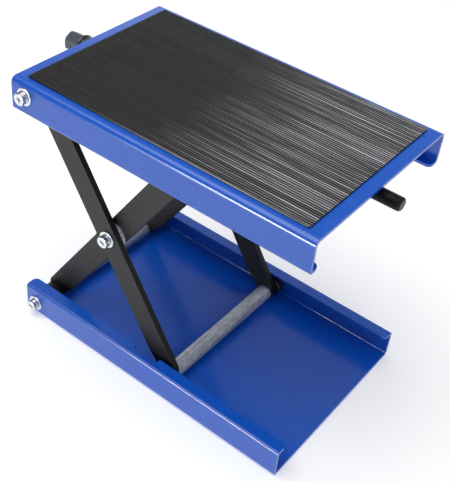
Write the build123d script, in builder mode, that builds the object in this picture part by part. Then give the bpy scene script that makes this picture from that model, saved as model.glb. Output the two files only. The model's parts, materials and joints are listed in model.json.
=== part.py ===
from build123d import *
from math import cos, radians, sin, sqrt
import os

# Screw-driven scissor stand for lifting a motorcycle by its frame rails.
#
# Two sheet channels, base and deck, are held apart by two crossed pairs of flat arms.
# The inner arms hinge on the base at the drive end, and their tops carry a nut bar that
# travels under the deck. The outer arms hinge on the deck at the drive end, and their
# feet roll in the base. A lead screw under the deck pulls the nut bar along.
#
# Origin at the centre of the base's underside. +X runs from the drive hex to the free
# end of the lead screw, +Y across the stand and +Z up. Millimetres and degrees.

os.makedirs("parts", exist_ok=True)

# ---------------------------------------------------------------- driving dimensions
# rolled sheet channels
base_length = 350.0
deck_length = 350.0
deck_width = 220.0
deck_overhang = 4.0  # the deck stands out past the base at the drive end
base_side_margin = 1.0  # the base is wider than the deck by this on each side
sheet = 3.0
deck_bend_radius = 6.5  # outside of the bends between top and sides
base_bend_radius = 4.5  # outside of the bends between floor and sides
lip_bend_radius = 3.6  # outside of the bends between sides and lips
deck_lip = 14.0  # width of the deck's inturned lips
lip_end_radius = 6.0  # corners of the lips at the channel's ends
lip_headroom = 7.1  # free height between the top rollers and the lips under them
notch_lead = 21.0  # lip notch, towards the drive end from the lowered centre bolt
notch_trail = 11.0  # and towards the free end
notch_depth = 7.0
notch_radius = 4.5
notch_mouth_radius = 2.0

# scissor arms
rest_angle = 56.4  # arms above level as drawn
lowest_angle = 11.0  # arms above level when the stand is let right down
pivot_inset = 14.0  # fixed pivots, from the base's drive end
arm_width = 27.0
arm_end_radius = 9.2
arm_relief = 34.0  # from an end's pivot to full width, on the side that a channel faces
arm_corner = 9.0  # the same on the other side
arm_shoulder_radius = 11.0
arm_thickness = 7.0
arm_gap = 3.0  # between the two arms of one side
arm_edge_radius = 0.8

# bars, rods and rollers that lie across the stand
rod_diameter = 12.0
tube_diameter = 18.0
bar_wall = 4.0  # round bars, outside the screw that passes through them
bar_flat = 8.0  # flats milled across the thrust bar, from its centre
roller_rise = 0.2  # the top rollers stand this much proud of the nut bar
foot_roller_diameter = 24.0
roller_edge = 0.8
foot_spacer_diameter = 18.0
centre_spacer_diameter = 31.0
top_spacer_diameter = 16.0

# lead screw and its thrust bearing
screw_diameter = 14.0
screw_end_chamfer = 1.5
screw_beyond_deck = 19.5
journal_diameter = 12.0
spigot_diameter = 10.0  # the screw's end inside the drive hex
hex_across_flats = 19.0
hex_length = 18.0
hex_chamfer = 1.5
bearing_diameter = 25.0
bearing_beyond_deck = 3.0  # gap from the deck's end to the bearing
race_thickness = 2.5
ball_diameter = 4.0
ball_count = 12
cage_thickness = 1.2
sleeve_wall = 3.0
keeper_diameter = 20.0
keeper_length = 8.0
keeper_pin_diameter = 3.0
drive_pin_diameter = 4.0
pin_end_inset = 0.5

# M8 low-head cap screws with their washers and nuts
thread_diameter = 8.0
head_diameter = 13.0
head_height = 5.0
socket_across_flats = 5.0
socket_depth = 2.8
head_edge_radius = 0.6
washer_diameter = 18.5
washer_thickness = 1.6
lock_washer_diameter = 13.5
lock_washer_thickness = 2.0
lock_washer_split = 1.2
screw_reach = 16.0  # length of thread engaged in a rod or a bar
nut_across_flats = 13.0
nut_height = 6.5
nut_collar_diameter = 11.4
nut_collar_height = 1.5
nut_protrusion = 2.0

# retaining clips on the axle ends
clip_diameter = 16.0
clip_thickness = 1.0
groove_diameter = 10.4
clip_mouth = 8.5
axle_stub = 0.6  # axle left outside each clip

# ribbed rubber pad
pad_end_margin = 12.0  # at the drive end
pad_free_margin = 13.5  # at the free end
pad_side_margin = 10.4
pad_web = 1.0
rib_height = 1.2
rib_pitch = 2.96
rib_root = 2.2
rib_angle = 70.0  # of a rib's flanks

# clearances
running = 0.05  # round a pin, a shaft or a screw, on the radius
side_play = 0.2  # between flat faces that slide on each other
rolling_gap = 0.3  # under a foot roller and over a top roller
lip_clearance = 5.0  # from an arm to the lips it passes between
bend_clearance = 0.2  # from a round spacer to the bend beside it
edge_clearance = 0.2  # from a roller's edge to the bend over it
axle_end_gap = 0.2  # from an axle's end to the deck's side

# ---------------------------------------------------------------- sizes that follow
bar_diameter = screw_diameter + 2 * bar_wall
top_roller_diameter = bar_diameter + 2 * roller_rise
channel_depth = 2 * sheet + rolling_gap + top_roller_diameter + lip_headroom
base_width = deck_width + 2 * base_side_margin

pivot_x = -base_length / 2 + pivot_inset
base_pivot_z = sheet + rolling_gap + foot_roller_diameter / 2
deck_pivot_drop = sheet + rolling_gap + top_roller_diameter / 2

arm_pitch = (base_length - 2 * pivot_inset) / cos(radians(lowest_angle))
travel_x = pivot_x + arm_pitch * cos(radians(rest_angle))
deck_pivot_z = base_pivot_z + arm_pitch * sin(radians(rest_angle))
deck_top_z = deck_pivot_z + deck_pivot_drop
centre_x = (pivot_x + travel_x) / 2
centre_z = (base_pivot_z + deck_pivot_z) / 2
lowered_centre_x = pivot_x + arm_pitch * cos(radians(lowest_angle)) / 2

deck_drive_end = -base_length / 2 - deck_overhang
deck_free_end = deck_drive_end + deck_length

# places across the stand, from the middle outwards on one side
mouth_half = deck_width / 2 - deck_lip
outer_arm_out = mouth_half - lip_clearance
outer_arm_in = outer_arm_out - arm_thickness
inner_arm_out = outer_arm_in - arm_gap
inner_arm_in = inner_arm_out - arm_thickness
deck_inside = deck_width / 2 - sheet
base_inside = base_width / 2 - sheet
axle_half = deck_inside - axle_end_gap
clip_in = axle_half - axle_stub - clip_thickness
roller_in = mouth_half
roller_width = clip_in - side_play - roller_in

# a roller's edge is cut back where the bend inside the deck comes down to it
bend_inside = deck_bend_radius - sheet
bend_reach = bend_inside - (deck_inside - clip_in + side_play)
bend_drop = rolling_gap - edge_clearance
bend_clear_run = sqrt(bend_drop * (2 * bend_inside - bend_drop))
roller_chamfer = max(roller_edge, bend_reach - bend_clear_run)

hole_diameter = thread_diameter + 4 * running
rod_bore = rod_diameter + 2 * running
tapped_bore = thread_diameter + 2 * running
washer_stack = washer_thickness + lock_washer_thickness

top_bush_diameter = 2 * (deck_pivot_drop - deck_bend_radius - bend_clearance)
base_spacer_diameter = 2 * (base_pivot_z - base_bend_radius - bend_clearance)


def across(x, y, z):
    """Plane at a point, facing out along +Y, for what lies across the stand."""
    return Plane(origin=(x, y, z), x_dir=(1, 0, 0), z_dir=(0, 1, 0))


def along(x):
    """Plane across the lead screw's axis, facing along +X."""
    return Plane(origin=(x, 0, deck_pivot_z), x_dir=(0, 1, 0), z_dir=(1, 0, 0))


def channel_section(x, z, width, mouth_side, bend_radius):
    """C-shaped section of a channel, with its mouth up (1) or down (-1)."""
    with BuildSketch(Plane(origin=(x, 0, z), x_dir=(0, 1, 0), z_dir=(1, 0, 0))) as section:
        Rectangle(width, channel_depth)
        low_radius, high_radius = bend_radius, lip_bend_radius
        if mouth_side < 0:
            low_radius, high_radius = lip_bend_radius, bend_radius
        fillet(section.vertices().group_by(Axis.Y)[0], low_radius)
        fillet(section.vertices().group_by(Axis.Y)[-1], high_radius)
        offset(amount=-sheet, mode=Mode.SUBTRACT)
        with Locations((0, mouth_side * (channel_depth - sheet) / 2)):
            Rectangle(2 * mouth_half, sheet, mode=Mode.SUBTRACT)
    return section.sketch


def notch_outline(z):
    """Outline of the notches that clear the centre bolts when the stand is down."""
    middle_x = lowered_centre_x + (notch_trail - notch_lead) / 2
    with BuildSketch(Plane.XY.offset(z)) as outline:
        with Locations((middle_x, 0)):
            RectangleRounded(notch_lead + notch_trail, 2 * (mouth_half + notch_depth), notch_radius)
    return outline.sketch


def arm_plane(side_y, lean):
    """Plane at the centre pivot, its local X up the arm that leans to +X (1) or -X (-1)."""
    uphill = (lean * cos(radians(rest_angle)), 0, sin(radians(rest_angle)))
    return Plane(origin=(centre_x, side_y, centre_z), x_dir=uphill, z_dir=(0, 1, 0))


def arm_outline(plane, lean):
    """Flat bar with round ends, each relieved on the side that a channel faces."""
    half = arm_pitch / 2
    edge = lean * (arm_width / 2 - arm_shoulder_radius)
    with BuildSketch(plane) as outline:
        with Locations((-half, 0), (half, 0)):
            Circle(arm_end_radius)
        with Locations((arm_relief - half, edge), (half - arm_relief, -edge)):
            Circle(arm_shoulder_radius)
        with Locations((arm_corner - half, -edge), (half - arm_corner, edge)):
            Circle(arm_shoulder_radius)
        make_hull()
    return outline.sketch


def arm_bores(plane):
    """Centre bolt hole and the two end bores of an arm."""
    with BuildSketch(plane) as bores:
        Circle(hole_diameter / 2)
        with Locations((-arm_pitch / 2, 0), (arm_pitch / 2, 0)):
            Circle(rod_bore / 2)
    return bores.sketch


def cap_screw(length):
    """Socket head screw, seated at the origin with its head up."""
    with BuildPart() as screw:
        with BuildSketch():
            Circle(head_diameter / 2)
        extrude(amount=head_height)
        fillet(screw.edges().group_by(Axis.Z)[-1], head_edge_radius)
        with BuildSketch(Plane.XY.offset(head_height - socket_depth)):
            RegularPolygon(socket_across_flats / 2, 6, major_radius=False)
        extrude(amount=socket_depth, mode=Mode.SUBTRACT)
        with BuildSketch():
            Circle(thread_diameter / 2)
        extrude(amount=-length)
        chamfer(screw.edges().group_by(Axis.Z)[0], head_edge_radius)
    return screw.part


def ring(outside, inside, thickness):
    """Plain washer or spacer on the origin plane."""
    with BuildPart() as piece:
        with BuildSketch():
            Circle(outside / 2)
            Circle(inside / 2, mode=Mode.SUBTRACT)
        extrude(amount=thickness)
    return piece.part


def lock_washer():
    """Split spring washer."""
    with BuildPart() as piece:
        with BuildSketch():
            Circle(lock_washer_diameter / 2)
            Circle(hole_diameter / 2, mode=Mode.SUBTRACT)
            with Locations((0, lock_washer_diameter / 2)):
                Rectangle(lock_washer_split, lock_washer_diameter, mode=Mode.SUBTRACT)
        extrude(amount=lock_washer_thickness)
    return piece.part


def lock_nut():
    """Hexagon nut with the round collar that holds its locking insert."""
    with BuildPart() as nut:
        with BuildSketch():
            RegularPolygon(nut_across_flats / 2, 6, major_radius=False)
        extrude(amount=nut_height)
        with BuildSketch(Plane.XY.offset(nut_height)):
            Circle(nut_collar_diameter / 2)
        extrude(amount=nut_collar_height)
        fillet(nut.edges().group_by(Axis.Z)[-1], nut_collar_height / 3)
        with BuildSketch():
            Circle(tapped_bore / 2)
        extrude(amount=nut_height + nut_collar_height, mode=Mode.SUBTRACT)
    return nut.part


def axle_clip():
    """Open retaining clip that snaps into an axle's groove."""
    with BuildPart() as clip:
        with BuildSketch():
            Circle(clip_diameter / 2)
            Circle(groove_diameter / 2, mode=Mode.SUBTRACT)
            with Locations((0, clip_diameter / 2)):
                Rectangle(clip_mouth, clip_diameter, mode=Mode.SUBTRACT)
        extrude(amount=clip_thickness)
    return clip.part


def roller(diameter):
    """Plain roller with broken edges."""
    with BuildPart() as piece:
        with BuildSketch():
            Circle(diameter / 2)
        extrude(amount=roller_width)
        chamfer(piece.edges().filter_by(GeomType.CIRCLE), roller_chamfer)
        with BuildSketch():
            Circle(rod_bore / 2)
        extrude(amount=roller_width, mode=Mode.SUBTRACT)
    return piece.part


# ---------------------------------------------------------------- base
with BuildPart() as base_channel:
    base_section = channel_section(
        -base_length / 2, channel_depth / 2, base_width, 1, base_bend_radius
    )
    extrude(base_section, amount=base_length)
    fillet(base_channel.edges().filter_by(Axis.Z).group_by(SortBy.LENGTH)[0], lip_end_radius)
    extrude(notch_outline(channel_depth - sheet), amount=sheet, mode=Mode.SUBTRACT)
    notch_mouths = base_channel.edges().filter_by(Axis.Z).group_by(lambda e: abs(e.center().Y))[0]
    fillet(notch_mouths, notch_mouth_radius)
    with BuildSketch(across(pivot_x, -base_width / 2, base_pivot_z)):
        Circle(hole_diameter / 2)
    extrude(amount=base_width, mode=Mode.SUBTRACT)
base_channel.part.label = "base_channel"
export_step(base_channel.part, "parts/base_channel.step")

base_rod_half = inner_arm_out + side_play
with BuildPart() as base_pivot_rod:
    with BuildSketch(across(pivot_x, -base_rod_half, base_pivot_z)):
        Circle(rod_diameter / 2)
    extrude(amount=2 * base_rod_half)
    for end in (-base_rod_half, base_rod_half - screw_reach - side_play):
        with BuildSketch(across(pivot_x, end, base_pivot_z)):
            Circle(tapped_bore / 2)
        extrude(amount=screw_reach + side_play, mode=Mode.SUBTRACT)
base_pivot_rod.part.label = "base_pivot_rod"
export_step(base_pivot_rod.part, "parts/base_pivot_rod.step")

base_spacer_length = base_inside - base_rod_half
with BuildPart() as base_pivot_spacers:
    with Locations(across(pivot_x, base_rod_half, base_pivot_z)):
        add(ring(base_spacer_diameter, hole_diameter, base_spacer_length))
    mirror(about=Plane.XZ)
base_pivot_spacers.part.label = "base_pivot_spacers"
export_step(base_pivot_spacers.part, "parts/base_pivot_spacers.step")

base_face = base_width / 2
with BuildPart() as base_pivot_washers:
    with Locations(across(pivot_x, base_face, base_pivot_z)):
        add(ring(washer_diameter, hole_diameter, washer_thickness))
    mirror(about=Plane.XZ)
base_pivot_washers.part.label = "base_pivot_washers"
export_step(base_pivot_washers.part, "parts/base_pivot_washers.step")

with BuildPart() as base_pivot_lock_washers:
    with Locations(across(pivot_x, base_face + washer_thickness, base_pivot_z)):
        add(lock_washer())
    mirror(about=Plane.XZ)
base_pivot_lock_washers.part.label = "base_pivot_lock_washers"
export_step(base_pivot_lock_washers.part, "parts/base_pivot_lock_washers.step")

base_screw_length = washer_stack + sheet + base_spacer_length + screw_reach
with BuildPart() as base_pivot_bolts:
    with Locations(across(pivot_x, base_face + washer_stack, base_pivot_z)):
        add(cap_screw(base_screw_length))
    mirror(about=Plane.XZ)
base_pivot_bolts.part.label = "base_pivot_bolts"
export_step(base_pivot_bolts.part, "parts/base_pivot_bolts.step")

# ---------------------------------------------------------------- inner arms
for side, inside_y in (("left", inner_arm_in), ("right", -inner_arm_out)):
    with BuildPart() as inner_arm:
        extrude(arm_outline(arm_plane(inside_y, 1), 1), amount=arm_thickness)
        flat_faces = inner_arm.faces().filter_by(Axis.Y)
        fillet(flat_faces.edges(), arm_edge_radius)
        extrude(arm_bores(arm_plane(inside_y, 1)), amount=arm_thickness, mode=Mode.SUBTRACT)
    inner_arm.part.label = "inner_arm_" + side
    export_step(inner_arm.part, "parts/inner_arm_" + side + ".step")

with BuildPart() as base_pivot_tube:
    with Locations(across(pivot_x, -inner_arm_in, base_pivot_z)):
        add(ring(tube_diameter, rod_bore, 2 * inner_arm_in))
base_pivot_tube.part.label = "base_pivot_tube"
export_step(base_pivot_tube.part, "parts/base_pivot_tube.step")

with BuildPart() as centre_spacers:
    with Locations(across(centre_x, inner_arm_out, centre_z)):
        add(ring(centre_spacer_diameter, hole_diameter, arm_gap - side_play))
    mirror(about=Plane.XZ)
centre_spacers.part.label = "centre_spacers"
export_step(centre_spacers.part, "parts/centre_spacers.step")

centre_face = outer_arm_out + side_play
with BuildPart() as centre_washers:
    with Locations(across(centre_x, centre_face, centre_z)):
        add(ring(washer_diameter, hole_diameter, washer_thickness))
    mirror(about=Plane.XZ)
centre_washers.part.label = "centre_washers"
export_step(centre_washers.part, "parts/centre_washers.step")

with BuildPart() as centre_lock_washers:
    with Locations(across(centre_x, centre_face + washer_thickness, centre_z)):
        add(lock_washer())
    mirror(about=Plane.XZ)
centre_lock_washers.part.label = "centre_lock_washers"
export_step(centre_lock_washers.part, "parts/centre_lock_washers.step")

centre_screw_end = inner_arm_in - nut_height - nut_collar_height - nut_protrusion
with BuildPart() as centre_bolts:
    with Locations(across(centre_x, centre_face + washer_stack, centre_z)):
        add(cap_screw(centre_face + washer_stack - centre_screw_end))
    mirror(about=Plane.XZ)
centre_bolts.part.label = "centre_bolts"
export_step(centre_bolts.part, "parts/centre_bolts.step")

with BuildPart() as centre_nuts:
    with Locations(across(centre_x, -inner_arm_in, centre_z)):
        add(lock_nut())
    mirror(about=Plane.XZ)
centre_nuts.part.label = "centre_nuts"
export_step(centre_nuts.part, "parts/centre_nuts.step")

# ---------------------------------------------------------------- outer arms and foot
for side, inside_y in (("left", outer_arm_in), ("right", -outer_arm_out)):
    with BuildPart() as outer_arm:
        extrude(arm_outline(arm_plane(inside_y, -1), -1), amount=arm_thickness)
        flat_faces = outer_arm.faces().filter_by(Axis.Y)
        fillet(flat_faces.edges(), arm_edge_radius)
        extrude(arm_bores(arm_plane(inside_y, -1)), amount=arm_thickness, mode=Mode.SUBTRACT)
    outer_arm.part.label = "outer_arm_" + side
    export_step(outer_arm.part, "parts/outer_arm_" + side + ".step")

with BuildPart() as foot_tube:
    with Locations(across(travel_x, -outer_arm_in, base_pivot_z)):
        add(ring(tube_diameter, rod_bore, 2 * outer_arm_in))
foot_tube.part.label = "foot_tube"
export_step(foot_tube.part, "parts/foot_tube.step")

groove = ring(rod_diameter + 2 * side_play, groove_diameter, clip_thickness)
with BuildPart() as foot_axle:
    with BuildSketch(across(travel_x, -axle_half, base_pivot_z)):
        Circle(rod_diameter / 2)
    extrude(amount=2 * axle_half)
    with Locations(across(travel_x, clip_in, base_pivot_z)):
        add(groove, mode=Mode.SUBTRACT)
    with Locations(across(travel_x, -clip_in - clip_thickness, base_pivot_z)):
        add(groove, mode=Mode.SUBTRACT)
foot_axle.part.label = "foot_axle"
export_step(foot_axle.part, "parts/foot_axle.step")

with BuildPart() as foot_spacers:
    with Locations(across(travel_x, outer_arm_out, base_pivot_z)):
        add(ring(foot_spacer_diameter, rod_bore, roller_in - side_play - outer_arm_out))
    mirror(about=Plane.XZ)
foot_spacers.part.label = "foot_spacers"
export_step(foot_spacers.part, "parts/foot_spacers.step")

with BuildPart() as foot_clips:
    with Locations(across(travel_x, clip_in, base_pivot_z)):
        add(axle_clip())
    mirror(about=Plane.XZ)
foot_clips.part.label = "foot_clips"
export_step(foot_clips.part, "parts/foot_clips.step")

with BuildPart() as foot_rollers:
    with Locations(across(travel_x, roller_in, base_pivot_z)):
        add(roller(foot_roller_diameter))
    mirror(about=Plane.XZ)
foot_rollers.part.label = "foot_rollers"
export_step(foot_rollers.part, "parts/foot_rollers.step")

# ---------------------------------------------------------------- deck
deck_bottom_z = deck_top_z - channel_depth
deck_middle_z = deck_top_z - channel_depth / 2
with BuildPart() as deck_channel:
    deck_section = channel_section(
        deck_drive_end, deck_middle_z, deck_width, -1, deck_bend_radius
    )
    extrude(deck_section, amount=deck_length)
    fillet(deck_channel.edges().filter_by(Axis.Z).group_by(SortBy.LENGTH)[0], lip_end_radius)
    extrude(notch_outline(deck_bottom_z), amount=sheet, mode=Mode.SUBTRACT)
    notch_mouths = deck_channel.edges().filter_by(Axis.Z).group_by(lambda e: abs(e.center().Y))[0]
    fillet(notch_mouths, notch_mouth_radius)
    with BuildSketch(across(pivot_x, -deck_width / 2, deck_pivot_z)):
        Circle(hole_diameter / 2)
    extrude(amount=deck_width, mode=Mode.SUBTRACT)
deck_channel.part.label = "deck_channel"
export_step(deck_channel.part, "parts/deck_channel.step")

pad_length = deck_length - pad_end_margin - pad_free_margin
pad_width = deck_width - 2 * pad_side_margin
rib_count = int(pad_width / rib_pitch)
with BuildPart() as deck_pad:
    with BuildSketch(along(deck_drive_end + pad_end_margin)):
        with Locations((0, deck_pivot_drop + pad_web / 2)):
            Rectangle(pad_width, pad_web)
        with Locations((0, deck_pivot_drop + pad_web + rib_height / 2)):
            with GridLocations(rib_pitch, 0, rib_count, 1):
                Trapezoid(rib_root, rib_height, rib_angle)
    extrude(amount=pad_length)
deck_pad.part.label = "deck_pad"
export_step(deck_pad.part, "parts/deck_pad.step")

thrust_bar_half = outer_arm_in - side_play
with BuildPart() as thrust_bar:
    with BuildSketch(across(pivot_x, -thrust_bar_half, deck_pivot_z)):
        Circle(bar_diameter / 2)
    extrude(amount=2 * thrust_bar_half)
    with Locations((pivot_x - bar_diameter / 2 - bar_flat, 0, deck_pivot_z)):
        Box(bar_diameter, bearing_diameter, bar_diameter, mode=Mode.SUBTRACT)
    with Locations((pivot_x + bar_diameter / 2 + bar_flat, 0, deck_pivot_z)):
        Box(bar_diameter, bearing_diameter, bar_diameter, mode=Mode.SUBTRACT)
    with BuildSketch(along(pivot_x - bar_flat)):
        Circle(journal_diameter / 2 + running)
    extrude(amount=2 * bar_flat, mode=Mode.SUBTRACT)
    for end in (-thrust_bar_half, thrust_bar_half - screw_reach - side_play):
        with BuildSketch(across(pivot_x, end, deck_pivot_z)):
            Circle(tapped_bore / 2)
        extrude(amount=screw_reach + side_play, mode=Mode.SUBTRACT)
thrust_bar.part.label = "thrust_bar"
export_step(thrust_bar.part, "parts/thrust_bar.step")

# each bush is a journal for the outer arm, with a collar out to the deck's side
bush_collar_in = outer_arm_out + side_play
bush_length = deck_inside - thrust_bar_half
with BuildPart() as top_pivot_bushes:
    with Locations(across(pivot_x, thrust_bar_half, deck_pivot_z)):
        add(ring(rod_diameter, hole_diameter, bush_length))
    with Locations(across(pivot_x, bush_collar_in, deck_pivot_z)):
        add(ring(top_bush_diameter, hole_diameter, deck_inside - bush_collar_in))
    mirror(about=Plane.XZ)
top_pivot_bushes.part.label = "top_pivot_bushes"
export_step(top_pivot_bushes.part, "parts/top_pivot_bushes.step")

deck_face = deck_width / 2
with BuildPart() as top_pivot_washers:
    with Locations(across(pivot_x, deck_face, deck_pivot_z)):
        add(ring(washer_diameter, hole_diameter, washer_thickness))
    mirror(about=Plane.XZ)
top_pivot_washers.part.label = "top_pivot_washers"
export_step(top_pivot_washers.part, "parts/top_pivot_washers.step")

with BuildPart() as top_pivot_lock_washers:
    with Locations(across(pivot_x, deck_face + washer_thickness, deck_pivot_z)):
        add(lock_washer())
    mirror(about=Plane.XZ)
top_pivot_lock_washers.part.label = "top_pivot_lock_washers"
export_step(top_pivot_lock_washers.part, "parts/top_pivot_lock_washers.step")

with BuildPart() as top_pivot_bolts:
    with Locations(across(pivot_x, deck_face + washer_stack, deck_pivot_z)):
        add(cap_screw(washer_stack + sheet + bush_length + screw_reach))
    mirror(about=Plane.XZ)
top_pivot_bolts.part.label = "top_pivot_bolts"
export_step(top_pivot_bolts.part, "parts/top_pivot_bolts.step")

# ---------------------------------------------------------------- thrust bearing
journal_bore = journal_diameter + 4 * running
deck_race_out = deck_drive_end - bearing_beyond_deck - race_thickness
ball_x = deck_race_out - ball_diameter / 2
screw_race_in = ball_x - ball_diameter / 2 - side_play
hex_in = screw_race_in - race_thickness
ball_circle = (bearing_diameter / 2 + journal_diameter / 2) / 2

sleeve_start = deck_race_out + race_thickness
with BuildPart() as thrust_sleeve:
    with BuildSketch(along(sleeve_start)):
        Circle(journal_bore / 2 + sleeve_wall)
        Circle(journal_bore / 2, mode=Mode.SUBTRACT)
    extrude(amount=pivot_x - bar_flat - sleeve_start)
thrust_sleeve.part.label = "thrust_sleeve"
export_step(thrust_sleeve.part, "parts/thrust_sleeve.step")

with BuildPart() as thrust_race_deck:
    with BuildSketch(along(deck_race_out)):
        Circle(bearing_diameter / 2)
        Circle(journal_bore / 2, mode=Mode.SUBTRACT)
    extrude(amount=race_thickness)
thrust_race_deck.part.label = "thrust_race_deck"
export_step(thrust_race_deck.part, "parts/thrust_race_deck.step")

with BuildPart() as thrust_balls:
    with Locations(along(ball_x)):
        with PolarLocations(ball_circle, ball_count):
            Sphere(ball_diameter / 2)
thrust_balls.part.label = "thrust_balls"
export_step(thrust_balls.part, "parts/thrust_balls.step")

with BuildPart() as thrust_cage:
    with BuildSketch(along(ball_x - cage_thickness / 2)):
        Circle(ball_circle + ball_diameter / 2 + running + cage_thickness / 2)
        Circle(ball_circle - ball_diameter / 2 - running - cage_thickness / 2, mode=Mode.SUBTRACT)
        with PolarLocations(ball_circle, ball_count):
            Circle(ball_diameter / 2 + running, mode=Mode.SUBTRACT)
    extrude(amount=cage_thickness)
thrust_cage.part.label = "thrust_cage"
export_step(thrust_cage.part, "parts/thrust_cage.step")

# ---------------------------------------------------------------- lead screw
with BuildPart() as thrust_race_screw:
    with BuildSketch(along(hex_in)):
        Circle(bearing_diameter / 2)
        Circle(journal_diameter / 2 + running, mode=Mode.SUBTRACT)
    extrude(amount=race_thickness)
thrust_race_screw.part.label = "thrust_race_screw"
export_step(thrust_race_screw.part, "parts/thrust_race_screw.step")

keeper_start = pivot_x + bar_flat + side_play
keeper_middle = keeper_start + keeper_length / 2
thread_start = keeper_start + keeper_length
hex_out = hex_in - hex_length
screw_end = deck_free_end + screw_beyond_deck
drive_pin_x = hex_in - hex_length / 2
with BuildPart() as lead_screw:
    with BuildSketch(along(thread_start)):
        Circle(screw_diameter / 2)
    extrude(amount=screw_end - thread_start)
    chamfer(lead_screw.edges().group_by(Axis.X)[-1], screw_end_chamfer)
    with BuildSketch(along(hex_in)):
        Circle(journal_diameter / 2)
    extrude(amount=thread_start - hex_in)
    with BuildSketch(along(hex_out + hex_chamfer)):
        Circle(spigot_diameter / 2)
    extrude(amount=hex_length - hex_chamfer)
    with BuildSketch(across(keeper_middle, -screw_diameter / 2, deck_pivot_z)):
        Circle(keeper_pin_diameter / 2 + running)
    extrude(amount=screw_diameter, mode=Mode.SUBTRACT)
    with BuildSketch(across(drive_pin_x, -screw_diameter / 2, deck_pivot_z)):
        Circle(drive_pin_diameter / 2 + running)
    extrude(amount=screw_diameter, mode=Mode.SUBTRACT)
lead_screw.part.label = "lead_screw"
export_step(lead_screw.part, "parts/lead_screw.step")

# the hexagon stands on a corner, so two of its flats face across the stand
with BuildPart() as drive_hex:
    with BuildSketch(along(hex_out)):
        RegularPolygon(hex_across_flats / 2, 6, major_radius=False, rotation=30)
    extrude(amount=hex_length)
    with BuildSketch(along(hex_out)) as bevel_disc:
        Circle(hex_across_flats / 2 + hex_chamfer / 3)
    extrude(amount=hex_length, taper=-45, mode=Mode.INTERSECT)
    with BuildSketch(along(hex_out)):
        Circle(spigot_diameter / 2 + running)
    extrude(amount=hex_length, mode=Mode.SUBTRACT)
    with BuildSketch(across(drive_pin_x, -hex_across_flats / 2, deck_pivot_z)):
        Circle(drive_pin_diameter / 2 + running)
    extrude(amount=hex_across_flats, mode=Mode.SUBTRACT)
drive_hex.part.label = "drive_hex"
export_step(drive_hex.part, "parts/drive_hex.step")

drive_pin_half = hex_across_flats / 2 - pin_end_inset
with BuildPart() as drive_pin:
    with BuildSketch(across(drive_pin_x, -drive_pin_half, deck_pivot_z)):
        Circle(drive_pin_diameter / 2)
    extrude(amount=2 * drive_pin_half)
drive_pin.part.label = "drive_pin"
export_step(drive_pin.part, "parts/drive_pin.step")

with BuildPart() as keeper_ring:
    with BuildSketch(along(keeper_start)):
        Circle(keeper_diameter / 2)
        Circle(journal_diameter / 2 + running, mode=Mode.SUBTRACT)
    extrude(amount=keeper_length)
    with BuildSketch(across(keeper_middle, -keeper_diameter / 2, deck_pivot_z)):
        Circle(keeper_pin_diameter / 2 + running)
    extrude(amount=keeper_diameter, mode=Mode.SUBTRACT)
keeper_ring.part.label = "keeper_ring"
export_step(keeper_ring.part, "parts/keeper_ring.step")

keeper_pin_half = keeper_diameter / 2 - pin_end_inset
with BuildPart() as keeper_pin:
    with BuildSketch(across(keeper_middle, -keeper_pin_half, deck_pivot_z)):
        Circle(keeper_pin_diameter / 2)
    extrude(amount=2 * keeper_pin_half)
keeper_pin.part.label = "keeper_pin"
export_step(keeper_pin.part, "parts/keeper_pin.step")

# ---------------------------------------------------------------- nut bar
nut_bar_half = inner_arm_in - side_play
with BuildPart() as lift_nut_bar:
    with BuildSketch(across(travel_x, -nut_bar_half, deck_pivot_z)):
        Circle(bar_diameter / 2)
    extrude(amount=2 * nut_bar_half)
    with BuildSketch(across(travel_x, -axle_half, deck_pivot_z)):
        Circle(rod_diameter / 2)
    extrude(amount=2 * axle_half)
    with Locations(across(travel_x, clip_in, deck_pivot_z)):
        add(groove, mode=Mode.SUBTRACT)
    with Locations(across(travel_x, -clip_in - clip_thickness, deck_pivot_z)):
        add(groove, mode=Mode.SUBTRACT)
    with BuildSketch(along(travel_x - bar_diameter / 2)):
        Circle(screw_diameter / 2 + 2 * running)
    extrude(amount=bar_diameter, mode=Mode.SUBTRACT)
lift_nut_bar.part.label = "lift_nut_bar"
export_step(lift_nut_bar.part, "parts/lift_nut_bar.step")

top_spacer_in = inner_arm_out + side_play
with BuildPart() as top_roller_spacers:
    with Locations(across(travel_x, top_spacer_in, deck_pivot_z)):
        add(ring(top_spacer_diameter, rod_bore, roller_in - side_play - top_spacer_in))
    mirror(about=Plane.XZ)
top_roller_spacers.part.label = "top_roller_spacers"
export_step(top_roller_spacers.part, "parts/top_roller_spacers.step")

with BuildPart() as top_roller_clips:
    with Locations(across(travel_x, clip_in, deck_pivot_z)):
        add(axle_clip())
    mirror(about=Plane.XZ)
top_roller_clips.part.label = "top_roller_clips"
export_step(top_roller_clips.part, "parts/top_roller_clips.step")

with BuildPart() as top_rollers:
    with Locations(across(travel_x, roller_in, deck_pivot_z)):
        add(roller(top_roller_diameter))
    mirror(about=Plane.XZ)
top_rollers.part.label = "top_rollers"
export_step(top_rollers.part, "parts/top_rollers.step")
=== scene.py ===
import json
import math
import random

import bmesh
import bpy
from mathutils import Matrix, Vector


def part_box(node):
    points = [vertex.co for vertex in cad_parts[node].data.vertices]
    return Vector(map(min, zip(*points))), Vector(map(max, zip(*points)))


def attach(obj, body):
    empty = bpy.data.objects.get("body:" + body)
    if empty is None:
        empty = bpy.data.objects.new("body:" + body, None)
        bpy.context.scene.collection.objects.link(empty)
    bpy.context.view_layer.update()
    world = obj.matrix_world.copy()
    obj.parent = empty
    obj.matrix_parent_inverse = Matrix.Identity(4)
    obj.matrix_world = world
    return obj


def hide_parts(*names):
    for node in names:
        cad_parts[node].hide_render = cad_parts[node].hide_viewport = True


# Screw-driven scissor lift stand: finishes, threads, ribs and fasteners around the packed
# frame. Metres, in the frame's own axes: +X towards the lead screw's free end, +Z up.

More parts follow.
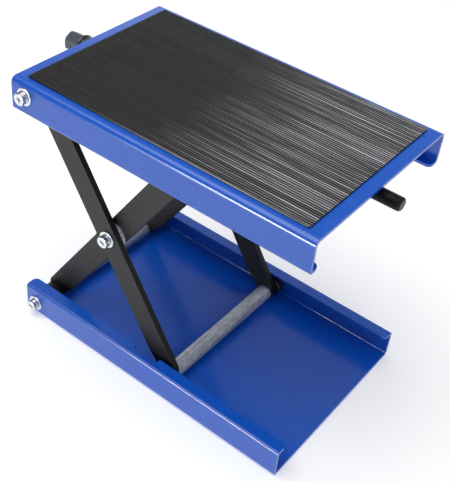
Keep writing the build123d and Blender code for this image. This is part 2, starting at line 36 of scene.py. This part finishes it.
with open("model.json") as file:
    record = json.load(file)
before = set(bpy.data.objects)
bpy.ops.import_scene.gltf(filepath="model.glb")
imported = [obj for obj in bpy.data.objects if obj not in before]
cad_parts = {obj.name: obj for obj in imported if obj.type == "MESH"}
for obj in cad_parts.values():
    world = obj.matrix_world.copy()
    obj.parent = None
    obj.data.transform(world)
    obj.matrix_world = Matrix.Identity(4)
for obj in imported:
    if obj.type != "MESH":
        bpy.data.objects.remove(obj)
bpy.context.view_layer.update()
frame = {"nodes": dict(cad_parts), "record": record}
nodes = frame["nodes"]
MM = 0.001


# ---------------------------------------------------------------- shader arithmetic
class Wire:
    """A socket in a finish's node tree. Arithmetic on wires adds Math nodes."""

    def __init__(self, tree, socket=None):
        self.tree = tree
        self.socket = socket

    def node(self, kind, settings=(), inputs=(), output=0):
        """Adds any other node: its settings first, then its sockets' values or links."""
        made = self.tree.nodes.new(kind)
        for name, value in dict(settings).items():
            if name == "stops":
                set_stops(made.color_ramp, value)
            else:
                setattr(made, name, value)
        for name, value in dict(inputs).items():
            if isinstance(value, Wire):
                self.tree.links.new(value.socket, made.inputs[name])
            else:
                made.inputs[name].default_value = value
        return Wire(self.tree, made.outputs[output])

    def math(self, operation, *terms):
        return self.node("ShaderNodeMath", {"operation": operation}, enumerate(terms))

    def __add__(self, other):
        return self.math("ADD", self, other)

    def __sub__(self, other):
        return self.math("SUBTRACT", self, other)

    def __rsub__(self, other):
        return self.math("SUBTRACT", other, self)

    def __mul__(self, other):
        return self.math("MULTIPLY", self, other)

    __radd__ = __add__
    __rmul__ = __mul__


def set_stops(ramp, stops):
    """Gives a colour ramp its stops, each a position and a grey level or a colour."""
    while len(ramp.elements) > 1:
        ramp.elements.remove(ramp.elements[-1])
    for index, (position, level) in enumerate(stops):
        stop = ramp.elements[0] if index == 0 else ramp.elements.new(position)
        stop.position = position
        stop.color = tuple(level) + (1,) if hasattr(level, "__len__") else (level,) * 3 + (1,)


class Finish:
    """A material on a Principled shader, with the wires that vary over its surface."""

    def __init__(self, name, **constants):
        self.material = bpy.data.materials.new(name)
        self.material.use_nodes = True
        self.tree = self.material.node_tree
        self.shader = self.tree.nodes["Principled BSDF"]
        for socket, value in constants.items():
            self.shader.inputs[socket.replace("_", " ")].default_value = value
        self.start = Wire(self.tree)
        self.place = self.start.node("ShaderNodeTexCoord", output="Object")

    def scaled_place(self, stretch):
        """Place on the object, each axis multiplied: a small number draws the grain out."""
        inputs = {"Vector": self.place, "Scale": stretch}
        return self.start.node("ShaderNodeMapping", inputs=inputs)

    def coordinate(self, axis):
        """Place along one axis, in metres."""
        return self.start.node("ShaderNodeSeparateXYZ", inputs={0: self.place}, output=axis)

    def noise(self, scale, detail=3.0, roughness=0.5, stretch=(1, 1, 1)):
        """Noise in the object's own metres, about `scale` grains to the metre."""
        inputs = {"Scale": scale, "Detail": detail, "Roughness": roughness}
        inputs["Vector"] = self.scaled_place(stretch)
        return self.start.node("ShaderNodeTexNoise", inputs=inputs)

    def cells(self, scale, stretch):
        """Crystals of random colour, about `scale` to the metre."""
        inputs = {"Vector": self.scaled_place(stretch), "Scale": scale}
        return self.start.node("ShaderNodeTexVoronoi", inputs=inputs, output="Color")

    def ramp(self, wire, *stops):
        return self.start.node("ShaderNodeValToRGB", {"stops": stops}, {"Fac": wire})

    def blend(self, amount, low, high):
        """Mixes two colours."""
        colour_mixer = {"data_type": "RGBA"}
        factor, first, second, mixed = 0, 6, 7, 2
        inputs = {factor: amount, first: low, second: high}
        return self.start.node("ShaderNodeMix", colour_mixer, inputs, output=mixed)

    def tone(self, colour):
        """Grey level of a colour."""
        return self.start.node("ShaderNodeRGBToBW", inputs={0: colour})

    def feed(self, socket, wire):
        """Joins a wire to one of the shader's inputs."""
        self.tree.links.new(wire.socket, self.shader.inputs[socket])

    def bump(self, height, distance):
        """Raises the surface by `distance` metres where height is 1."""
        inputs = {"Height": height, "Distance": distance, "Strength": 1.0}
        self.feed("Normal", self.start.node("ShaderNodeBump", inputs=inputs))


def rgb(red, green, blue):
    """Linear colour of a display colour given in 0 to 255."""
    channels = []
    for level in (red / 255, green / 255, blue / 255):
        linear = level / 12.92 if level <= 0.04045 else ((level + 0.055) / 1.055) ** 2.4
        channels.append(linear)
    return tuple(channels) + (1.0,)


# ---------------------------------------------------------------- finishes
def powder_coat():
    """Glossy blue powder coat: orange peel, a little dust and faint scuffs from handling."""
    coat = Finish("blue_powder_coat", Coat_Roughness=0.08, Specular_IOR_Level=0.5)
    cloud = coat.noise(7, detail=3)
    blue = coat.blend(cloud, rgb(1, 83, 192), rgb(2, 90, 203))
    dust = coat.ramp(coat.noise(55, detail=8, roughness=0.7), (0.56, 0.0), (0.86, 1.0))
    coat.feed("Base Color", coat.blend(dust * 0.10, blue, rgb(120, 140, 176)))
    rubbing = coat.noise(30, detail=7, roughness=0.65, stretch=(0.25, 1, 1))
    scuff = coat.ramp(rubbing, (0.5, 0.0), (0.8, 1.0))
    coat.feed("Roughness", 0.22 + scuff * 0.16 + cloud * 0.05)
    coat.feed("Coat Weight", 0.32 - scuff * 0.22)
    peel = coat.noise(380, detail=1) * 0.7 + coat.noise(1200, detail=1) * 0.3
    coat.bump(peel, 0.00007)
    return coat.material


def arm_paint():
    """Satin black paint over flat bar, a little dusty, its gloss varying in patches."""
    paint = Finish("black_arm_paint", Specular_IOR_Level=0.36)
    dust = paint.ramp(paint.noise(28, detail=7, roughness=0.65), (0.42, 0.0), (0.78, 1.0))
    paint.feed("Base Color", paint.blend(dust, rgb(10, 10, 12), rgb(22, 21, 25)))
    paint.feed("Roughness", 0.40 + paint.noise(60, detail=5) * 0.16)
    paint.bump(paint.noise(700, detail=3), 0.00006)
    return paint.material


def galvanised():
    """Zinc-coated tube: spangled crystals and drawn streaks, with darker run marks."""
    zinc = Finish("galvanised_tube", Metallic=0.6)
    spangle = zinc.cells(520, stretch=(1, 0.5, 1))
    streak = zinc.noise(260, detail=5, stretch=(1, 0.06, 1))
    runs = zinc.noise(150, detail=6, roughness=0.7, stretch=(1, 0.5, 1))
    mottle = zinc.tone(spangle) * 0.2 + streak * 0.45 + runs * 0.35
    dull = rgb(128, 134, 142)[:3]
    middling = rgb(192, 197, 204)[:3]
    bright = rgb(244, 246, 248)[:3]
    zinc.feed("Base Color", zinc.ramp(mottle, (0.25, dull), (0.5, middling), (0.75, bright)))
    zinc.feed("Roughness", 0.42 + streak * 0.24)
    zinc.bump(streak * 0.7 + runs * 0.3, 0.00008)
    return zinc.material


def bright_zinc():
    """Bright zinc plate on the screws, nuts and washers, clouded by handling."""
    plate = Finish("bright_zinc", Metallic=1.0)
    haze = plate.noise(700, detail=5)
    plate.feed("Base Color", plate.blend(haze, rgb(196, 199, 206), rgb(238, 239, 242)))
    plate.feed("Roughness", 0.14 + plate.noise(2200, detail=3) * 0.2)
    plate.bump(plate.noise(2600, detail=2), 0.00003)
    return plate.material


def turned_steel(name, dark, light, rough, metallic):
    """Bare or blacked steel, oil-stained, with the fine lines that turning leaves."""
    steel = Finish(name, Metallic=metallic)
    stain = steel.noise(80, detail=6, roughness=0.62)
    lines = steel.noise(900, detail=2, stretch=(1, 0.15, 0.15))
    steel.feed("Base Color", steel.blend(stain, dark, light))
    steel.feed("Roughness", rough + lines * 0.16 + stain * 0.08)
    steel.bump(lines, 0.00003)
    return steel.material


def ribbed_rubber():
    """Black rubber: dusty ribs, with painted shade in the grooves and painted highlight streaks on
    the crests, strongest at the free end.
    """
    rubber = Finish("ribbed_rubber", Specular_IOR_Level=0.5)
    bloom = rubber.noise(9, detail=5, roughness=0.6)
    by_rib = rubber.noise(170, detail=2, stretch=(0.035, 1, 0.01))
    dust = rubber.ramp(bloom * 0.45 + by_rib * 0.55, (0.38, 0.0), (0.66, 1.0))
    crest_depth = 0.9 * MM
    crest_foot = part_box("deck_pad")[1][2] - crest_depth
    height_in_mm = (rubber.coordinate("Z") - crest_foot) * (1 / MM)
    crest = rubber.ramp(height_in_mm, (0.3, 0.0), (0.75, 1.0))
    patchy = rubber.coordinate("X") + (rubber.noise(14, detail=3) - 0.5) * 0.09
    # Painted sheen mask: rises towards +X, the free end.
    painted_sheen_toward_free_end = rubber.ramp(patchy * 3.0 + 0.5, (0.42, 0.0), (0.80, 1.0))
    fine = rubber.noise(420, detail=3, roughness=0.6, stretch=(0.02, 1, 0.01))
    streak = rubber.ramp(fine, (0.44, 0.0), (0.70, 1.0))
    dusty = rubber.blend(dust, rgb(11, 10, 11), rgb(36, 35, 38))
    # Painted shade: the grooves stay near black while the crests take the dusty colour.
    dusty_crests_painted_groove_shade = rubber.blend(crest, rgb(6, 5, 6), dusty)
    # Painted highlight: near-white streaks on the crests, strongest towards the free end.
    painted_crest_highlight = painted_sheen_toward_free_end * crest * (streak * 0.85 + 0.1)
    rubber.feed("Base Color", rubber.blend(painted_crest_highlight, dusty_crests_painted_groove_shade, rgb(214, 214, 220)))
    rubber.feed("Roughness", 0.42 - dust * 0.16)
    rubber.bump(rubber.noise(2200, detail=3), 0.00004)
    return rubber.material


finishes = {
    "blue_powder_coat": powder_coat(),
    "black_arm_paint": arm_paint(),
    "galvanised_tube": galvanised(),
    "bright_zinc": bright_zinc(),
    "ribbed_rubber": ribbed_rubber(),
}
for steel_name, dark, light, rough, metallic in (
    ("dark_steel", rgb(58, 58, 62), rgb(92, 92, 96), 0.3, 0.9),
    ("black_oxide_screw", rgb(12, 12, 14), rgb(30, 30, 32), 0.3, 0.4),
    ("blacked_hexagon", rgb(54, 60, 68), rgb(86, 92, 102), 0.4, 0.9),
    ("bearing_steel", rgb(70, 72, 76), rgb(112, 114, 118), 0.2, 0.9),
):
    finishes[steel_name] = turned_steel(steel_name, dark, light, rough, metallic)


# ---------------------------------------------------------------- carried-over nodes
node_slots = {entry["node"]: entry["material_slot"] for entry in frame["record"]["subparts"]}
for name, piece in nodes.items():
    piece.data.materials.clear()
    piece.data.materials.append(finishes[node_slots[name]])
nodes["drive_hex"].data.materials[0] = finishes["blacked_hexagon"]
nodes["foot_spacers"].data.materials[0] = finishes["black_arm_paint"]


# ---------------------------------------------------------------- mesh work
class Stock:
    """Points and faces gathered for one piece, then made into an object on its body."""

    def __init__(self):
        self.points = []
        self.faces = []

    def skin(self, rings, place, closed=False):
        """Joins a run of rings: capped at its two ends, or closed on itself."""
        first = len(self.points)
        around = len(rings[0])
        for ring in rings:
            self.points += [place @ Vector(point) for point in ring]
        levels = len(rings)
        for level in range(levels if closed else levels - 1):
            here = first + level * around
            there = first + (level + 1) % levels * around
            for index in range(around):
                beside = (index + 1) % around
                self.faces.append((here + index, here + beside, there + beside, there + index))
        if not closed:
            last = first + (levels - 1) * around
            self.faces.append(tuple(first + index for index in reversed(range(around))))
            self.faces.append(tuple(last + index for index in range(around)))

    def piece(self, name, body, slot, replaced, sharp=35):
        """Makes the object, with edges over `sharp` degrees left crisp."""
        mesh = bpy.data.meshes.new(name)
        mesh.from_pydata(self.points, [], self.faces)
        shaped = bmesh.new()
        shaped.from_mesh(mesh)
        bmesh.ops.remove_doubles(shaped, verts=shaped.verts, dist=1e-7)
        bmesh.ops.recalc_face_normals(shaped, faces=shaped.faces)
        shaped.to_mesh(mesh)
        shaped.free()
        mesh.shade_smooth()
        mesh.set_sharp_from_angle(angle=math.radians(sharp))
        mesh.materials.append(finishes[slot])
        made = bpy.data.objects.new(name, mesh)
        bpy.context.collection.objects.link(made)
        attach(made, body)
        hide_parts(replaced)


def circle(radius, height, around=64):
    """Ring of points at one height, from local +X round towards +Y."""
    turns = [2 * math.pi * index / around for index in range(around)]
    return [(radius * math.cos(turn), radius * math.sin(turn), height) for turn in turns]


def knurled(radius, height, cut):
    """Circle whose every other point is let in by `cut`."""
    outer = circle(radius, height)
    inner = circle(radius - cut, height)
    return [inner[index] if index % 2 else outer[index] for index in range(len(outer))]


def hexagon(across_flats, height, around=64):
    """Hexagon as a ring of as many points as the circles beside it have."""
    ring = []
    for index in range(around):
        turn = 2 * math.pi * index / around
        from_flat = (turn + math.pi / 6) % (math.pi / 3) - math.pi / 6
        reach = across_flats / 2 / math.cos(from_flat)
        ring.append((reach * math.cos(turn), reach * math.sin(turn), height))
    return ring


def facing(x, y, z, side):
    """Placement that turns local +Z out along +Y (side 1) or -Y (side -1)."""
    return Matrix.Translation((x, y, z)) @ Matrix.Rotation(-side * math.pi / 2, 4, "X")


class RoundPair:
    """Sizes of a node whose round pieces lie across the stand, mirrored left and right."""

    def __init__(self, name):
        low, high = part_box(name)
        self.x = (low[0] + high[0]) / 2
        self.z = (low[2] + high[2]) / 2
        corners = [vertex.co for vertex in nodes[name].data.vertices]
        reaches = [math.hypot(corner.x - self.x, corner.z - self.z) for corner in corners]
        self.bore = min(reaches)
        self.radius = (high[0] - low[0]) / 2
        self.near = min(abs(corner.y) for corner in corners)
        self.far = high[1]

    def place(self, side, y):
        """Placement on one side, its +Z outwards, at a distance y from the middle."""
        return facing(self.x, side * y, self.z, side)


# ---------------------------------------------------------------- fasteners
head_height = 5.0 * MM
head_bevel = 0.7 * MM
socket_flats = 5.0 * MM
socket_depth = 2.8 * MM
shank_radius = 4.0 * MM
soft_edge = 0.25 * MM


def cap_screws(name, body):
    """Low socket head cap screws with knurled heads."""
    pair = RoundPair(name)
    head = pair.radius
    length = pair.far - pair.near - head_height
    knurl_start = 0.24 * head_height
    knurl_end = 0.74 * head_height
    knurl_fade = 0.04 * head_height
    stock = Stock()
    for side in (1, -1):
        rings = [
            circle(shank_radius - head_bevel, -length),
            circle(shank_radius, head_bevel - length),
            circle(shank_radius, 0),
            circle(head - soft_edge, 0),
            circle(head, soft_edge),
            circle(head, knurl_start - knurl_fade),
            knurled(head, knurl_start, soft_edge),
            knurled(head, knurl_end, soft_edge),
            circle(head, knurl_end + knurl_fade),
            circle(head - 0.3 * head_bevel, head_height - 0.6 * head_bevel),
            circle(head - head_bevel, head_height - 0.15 * head_bevel),
            circle(head - 1.6 * head_bevel, head_height),
            circle(socket_flats / math.sqrt(3) + 2 * soft_edge, head_height),
            hexagon(socket_flats + 2 * soft_edge, head_height - soft_edge),
            hexagon(socket_flats, head_height - 2 * soft_edge),
            hexagon(socket_flats, head_height - socket_depth),
            circle(soft_edge, head_height - socket_depth - 2 * soft_edge),
        ]
        stock.skin(rings, pair.place(side, pair.far - head_height))
    stock.piece("knurled_" + name, body, "bright_zinc", name)


def flat_washers(name, body):
    """Stamped washers, rounded over on the face that the die enters."""
    pair = RoundPair(name)
    thickness = pair.far - pair.near
    stock = Stock()
    for side in (1, -1):
        rings = [
            circle(pair.bore, 0),
            circle(pair.radius - soft_edge, 0),
            circle(pair.radius, soft_edge),
            circle(pair.radius, thickness - 2 * soft_edge),
            circle(pair.radius - 0.6 * soft_edge, thickness - 0.6 * soft_edge),
            circle(pair.radius - 2 * soft_edge, thickness),
            circle(pair.bore + soft_edge, thickness),
            circle(pair.bore, thickness - soft_edge),
        ]
        stock.skin(rings, pair.place(side, pair.near), closed=True)
    stock.piece("stamped_" + name, body, "bright_zinc", name)


def split_washers(name, body):
    """Spring lock washers, cut through on a slant and set a little out of flat."""
    pair = RoundPair(name)
    thickness = pair.far - pair.near
    steps = 56
    split = math.radians(9)
    rise = 0.3 * MM
    slant = math.radians(7)
    section = [
        (pair.bore, soft_edge), (pair.bore + soft_edge, 0), (pair.radius - soft_edge, 0),
        (pair.radius, soft_edge), (pair.radius, thickness - rise - soft_edge),
        (pair.radius - soft_edge, thickness - rise), (pair.bore + soft_edge, thickness - rise),
        (pair.bore, thickness - rise - soft_edge),
    ]
    stock = Stock()
    for side in (1, -1):
        rings = []
        for step in range(steps + 1):
            share = step / steps
            turn = math.pi / 2 + split / 2 + share * (2 * math.pi - split)
            loop = []
            for reach, height in section:
                lean = turn + slant * (height / thickness - 0.5)
                loop.append((reach * math.cos(lean), reach * math.sin(lean), height + share * rise))
            rings.append(loop)
        stock.skin(rings, pair.place(side, pair.near))
    stock.piece("sprung_" + name, body, "bright_zinc", name)


def lock_nuts(name, body):
    """Hexagon nuts with a domed collar over the locking insert."""
    pair = RoundPair(name)
    low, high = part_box(name)
    flats = high[2] - low[2]
    height = 6.5 * MM
    collar = 5.6 * MM
    top = 8.0 * MM
    corner = flats / math.sqrt(3)
    collar_root = collar + 0.15 * (corner - collar)
    stock = Stock()
    for side in (1, -1):
        rings = [
            circle(pair.bore + 2 * soft_edge, 0),
            circle(flats / 2 - soft_edge, 0),
            hexagon(flats - soft_edge, 0.8 * soft_edge),
            hexagon(flats, 3 * soft_edge),
            hexagon(flats, height - 3 * soft_edge),
            hexagon(flats - soft_edge, height - 0.8 * soft_edge),
            circle(collar_root, height),
            circle(collar, height + soft_edge),
            circle(collar - soft_edge, top - 2 * soft_edge),
            circle(collar - 3 * soft_edge, top),
            circle(pair.bore + 2 * soft_edge, top),
            circle(pair.bore, top - soft_edge),
            circle(pair.bore, 2 * soft_edge),
        ]
        stock.skin(rings, facing(pair.x, side * pair.far, pair.z, -side), closed=True)
    stock.piece("collared_" + name, body, "bright_zinc", name)


for pivot, pivot_body in (("base_pivot", "base"), ("centre", "inner_arms"), ("top_pivot", "deck")):
    cap_screws(pivot + "_bolts", pivot_body)
    flat_washers(pivot + "_washers", pivot_body)
    split_washers(pivot + "_lock_washers", pivot_body)
lock_nuts("centre_nuts", "inner_arms")


# ---------------------------------------------------------------- tubes across the stand
def drawn_tube(name, body):
    """Tube cut square and deburred, its radius rising and falling faintly along its length in draw
    marks.
    """
    pair = RoundPair(name)
    half = pair.far
    burr = 0.6 * MM
    ease = 0.3 * burr
    draw_mark = 0.02 * MM
    draw_marks = 3
    stations = 24
    rings = [
        circle(pair.bore, -half + burr),
        circle(pair.bore + burr, -half),
        circle(pair.radius - burr, -half),
        circle(pair.radius - ease, -half + ease),
    ]
    for station in range(stations + 1):
        share = station / stations
        waist = draw_mark * (1 - math.cos(2 * draw_marks * math.pi * share))
        rings.append(circle(pair.radius - waist, (half - burr) * (2 * share - 1)))
    rings += [
        circle(pair.radius - ease, half - ease),
        circle(pair.radius - burr, half),
        circle(pair.bore + burr, half),
        circle(pair.bore, half - burr),
    ]
    stock = Stock()
    stock.skin(rings, facing(pair.x, 0, pair.z, 1), closed=True)
    stock.piece("drawn_" + name, body, "galvanised_tube", name)


drawn_tube("base_pivot_tube", "inner_arms")
drawn_tube("foot_tube", "outer_arms")


# ---------------------------------------------------------------- lead screw
def threaded_screw():
    """Black screw: cut thread with flat crests, a plain journal and a spigot in the hexagon."""
    low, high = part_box("lead_screw")
    axis_z = (low[2] + high[2]) / 2
    major = (high[1] - low[1]) / 2
    thread_depth = 1.25 * MM
    minor = major - thread_depth
    pitch = 2.0 * MM
    end_bevel = 1.5 * MM
    journal = 6.0 * MM
    spigot = 5.0 * MM
    hex_low, hex_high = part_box("drive_hex")
    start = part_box("keeper_ring")[1][0]
    finish = high[0]
    # One turn's outline, as shares of the pitch: flat root, flank, flat crest.
    profile = ((0.0, minor), (0.12, minor), (0.42, major), (0.62, major))
    around = 40
    turns = int((finish - start) / pitch) + 2
    points = []
    for turn in range(turns):
        for share, reach in profile:
            for index in range(around):
                angle = 2 * math.pi * index / around
                x = start + pitch * (turn - 1 + share + index / around)
                x = min(max(x, start), finish)
                radius = min(reach, major - end_bevel + finish - x)
                points.append((radius * math.cos(angle), radius * math.sin(angle), x))
    stock = Stock()
    lie = Matrix.Translation((0, 0, axis_z)) @ Matrix.Rotation(math.pi / 2, 4, "Y")
    stock.points = [lie @ Vector(point) for point in points]
    lead = len(profile)
    rows = turns * lead
    # Each row climbs one pitch in a turn, so its last point meets the row `lead` further on.
    for row in range(rows - 1):
        for index in range(around - 1):
            here = row * around + index
            stock.faces.append((here, here + 1, here + 1 + around, here + around))
    for row in range(rows - 1 - lead):
        here = row * around + around - 1
        there = (row + lead) * around
        stock.faces.append((here, there, there + around, here + around))
    near_rim = list(range(around))
    near_rim += [row * around for row in range(lead, 0, -1)]
    last = (rows - 1) * around
    far_rim = [last + index for index in range(around)]
    far_rim += [row * around + around - 1 for row in range(rows - 2, rows - 2 - lead, -1)]
    stock.faces.append(tuple(near_rim))
    stock.faces.append(tuple(far_rim))
    rings = [
        circle(spigot - soft_edge, hex_low[0] + end_bevel),
        circle(spigot, hex_low[0] + end_bevel + soft_edge),
        circle(spigot, hex_high[0]),
        circle(journal, hex_high[0] + soft_edge),
        circle(journal, start + soft_edge),
        circle(minor - soft_edge, start + 2 * soft_edge),
    ]
    stock.skin(rings, lie)
    stock.piece("threaded_lead_screw", "lead_screw", "black_oxide_screw", "lead_screw", sharp=28)


threaded_screw()


# ---------------------------------------------------------------- deck pad
def ribbed_mat():
    """Moulded rubber mat: round-topped ribs along the deck, each a little uneven."""
    random.seed(7)
    low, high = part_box("deck_pad")
    pitch = 2.96 * MM
    crest = high[2]
    web_thickness = 0.9 * MM
    web = low[2] + web_thickness
    corner = 2.0 * MM
    foot = 1.02 * MM
    shoulder = 0.72 * MM
    shoulder_drop = 0.32 * MM
    crown = 0.46 * MM
    crown_drop = 0.06 * MM
    edge_width = 0.35 * MM
    edge_drop = 0.5 * MM
    edge_crown_drop = 0.1 * MM
    sway = 0.05
    wear = 0.16
    count = int((high[1] - low[1]) / pitch)
    first = -(count - 1) / 2 * pitch
    outline = [(low[1], crest - edge_drop), (low[1] + edge_width, crest - edge_crown_drop)]
    for rib in range(count):
        middle = first + rib * pitch + random.uniform(-sway, sway) * MM
        top = crest - random.uniform(0.0, wear) * MM
        # The mat's edge runs straight down to the first rib's foot, with no groove between.
        if rib > 0:
            outline.append((middle - pitch / 2, web))
        outline += [
            (middle - foot, web),
            (middle - shoulder, top - shoulder_drop),
            (middle - crown, top - crown_drop),
            (middle, top),
            (middle + crown, top - crown_drop),
            (middle + shoulder, top - shoulder_drop),
            (middle + foot, web),
        ]
    outline += [(high[1] - edge_width, crest - edge_crown_drop), (high[1], crest - edge_drop)]
    stock = Stock()
    rings = []
    for end, ward in ((low[0], 1), (high[0], -1)):
        top_edge = []
        bottom_edge = []
        for y, z in outline:
            inside = min(y - low[1], high[1] - y)
            cut = max(corner - inside, 0)
            x = end + ward * (corner - math.sqrt(corner ** 2 - cut ** 2))
            top_edge.append((x, y, z))
            bottom_edge.append((x, y, low[2]))
        rings.append(top_edge + bottom_edge[::-1])
    stock.points = [Vector(point) for ring in rings for point in ring]
    size = 2 * len(outline)
    for index in range(size):
        beside = (index + 1) % size
        stock.faces.append((index, beside, size + beside, size + index))
    for base in (0, size):
        for index in range(len(outline) - 1):
            above = base + index
            below = base + size - 1 - index
            stock.faces.append((above, above + 1, below - 1, below))
    stock.piece("ribbed_mat", "deck", "ribbed_rubber", "deck_pad", sharp=50)


ribbed_mat()


# ---------------------------------------------------------------- room, light and camera
def studio_floor():
    """Pale floor that glows a little, which lightens the shadows on it."""
    bpy.ops.mesh.primitive_plane_add(size=14, location=(0, 0, 0))
    floor = bpy.context.object
    floor.name = "studio_floor"
    pale = Finish("pale_floor", Roughness=0.7, Emission_Strength=0.3, Emission_Color=(1, 1, 1, 1))
    pale.feed("Base Color", pale.blend(pale.noise(3), rgb(246, 246, 246), rgb(250, 250, 250)))
    floor.data.materials.append(pale.material)


def soft_light(name, place, target, width, height, power, only_gloss=False):
    """Area light in watts. An only_gloss light shows only in reflections."""
    lamp = bpy.data.lights.new(name, "AREA")
    lamp.shape = "RECTANGLE"
    lamp.size = width
    lamp.size_y = height
    lamp.energy = power
    holder = bpy.data.objects.new(name, lamp)
    bpy.context.collection.objects.link(holder)
    holder.location = place
    holder.rotation_euler = (Vector(target) - Vector(place)).to_track_quat("-Z", "Y").to_euler()
    holder.visible_diffuse = not only_gloss


def studio_room():
    """Walls pale at the foot and darker above, under a pale ceiling, shaded by height alone."""
    room = bpy.data.worlds.new("studio_room")
    bpy.context.scene.world = room
    room.use_nodes = True
    backdrop = room.node_tree.nodes["Background"]
    start = Wire(room.node_tree)
    outward = start.node("ShaderNodeTexCoord", output="Generated")
    height = start.node("ShaderNodeSeparateXYZ", inputs={0: outward}, output="Z")
    walls = [(0.0, 0.5), (0.15, 0.2), (0.62, 0.22), (0.88, 0.8)]
    shade = start.node("ShaderNodeValToRGB", {"stops": walls}, {"Fac": height})
    room.node_tree.links.new(shade.socket, backdrop.inputs["Color"])


def stand_camera():
    """Long lens from above the free end's right, held with a slight roll."""
    eye = Vector((0.4229, -0.6174, 0.7718))
    aim = Vector((0.0015, -0.0083, 0.1611))
    roll = math.radians(5.87)
    lens = bpy.data.cameras.new("stand_camera")
    lens.lens = 69.5
    lens.shift_x = 0.0234
    lens.shift_y = -0.0313
    camera = bpy.data.objects.new("stand_camera", lens)
    bpy.context.collection.objects.link(camera)
    level = (aim - eye).to_track_quat("-Z", "Y").to_matrix().to_4x4()
    camera.matrix_world = Matrix.Translation(eye) @ level @ Matrix.Rotation(roll, 4, "Z")
    bpy.context.scene.camera = camera


studio_floor()
studio_room()
soft_light("overhead_box", (-0.35, -0.4, 1.85), (0, 0, 0.2), 1.5, 1.5, 17)
soft_light("side_box", (1.7, -1.1, 1.2), (0, 0, 0.15), 1.0, 1.0, 5)
soft_light("front_strip", (-0.38, -1.5, 0.27), (0, 0, 0.25), 0.7, 0.36, 24, only_gloss=True)
soft_light("back_panel", (-1.05, 1.5, 0.62), (0, 0, 0.3), 2.4, 1.2, 10, only_gloss=True)
stand_camera()
bpy.context.scene.view_settings.view_transform = "Standard"
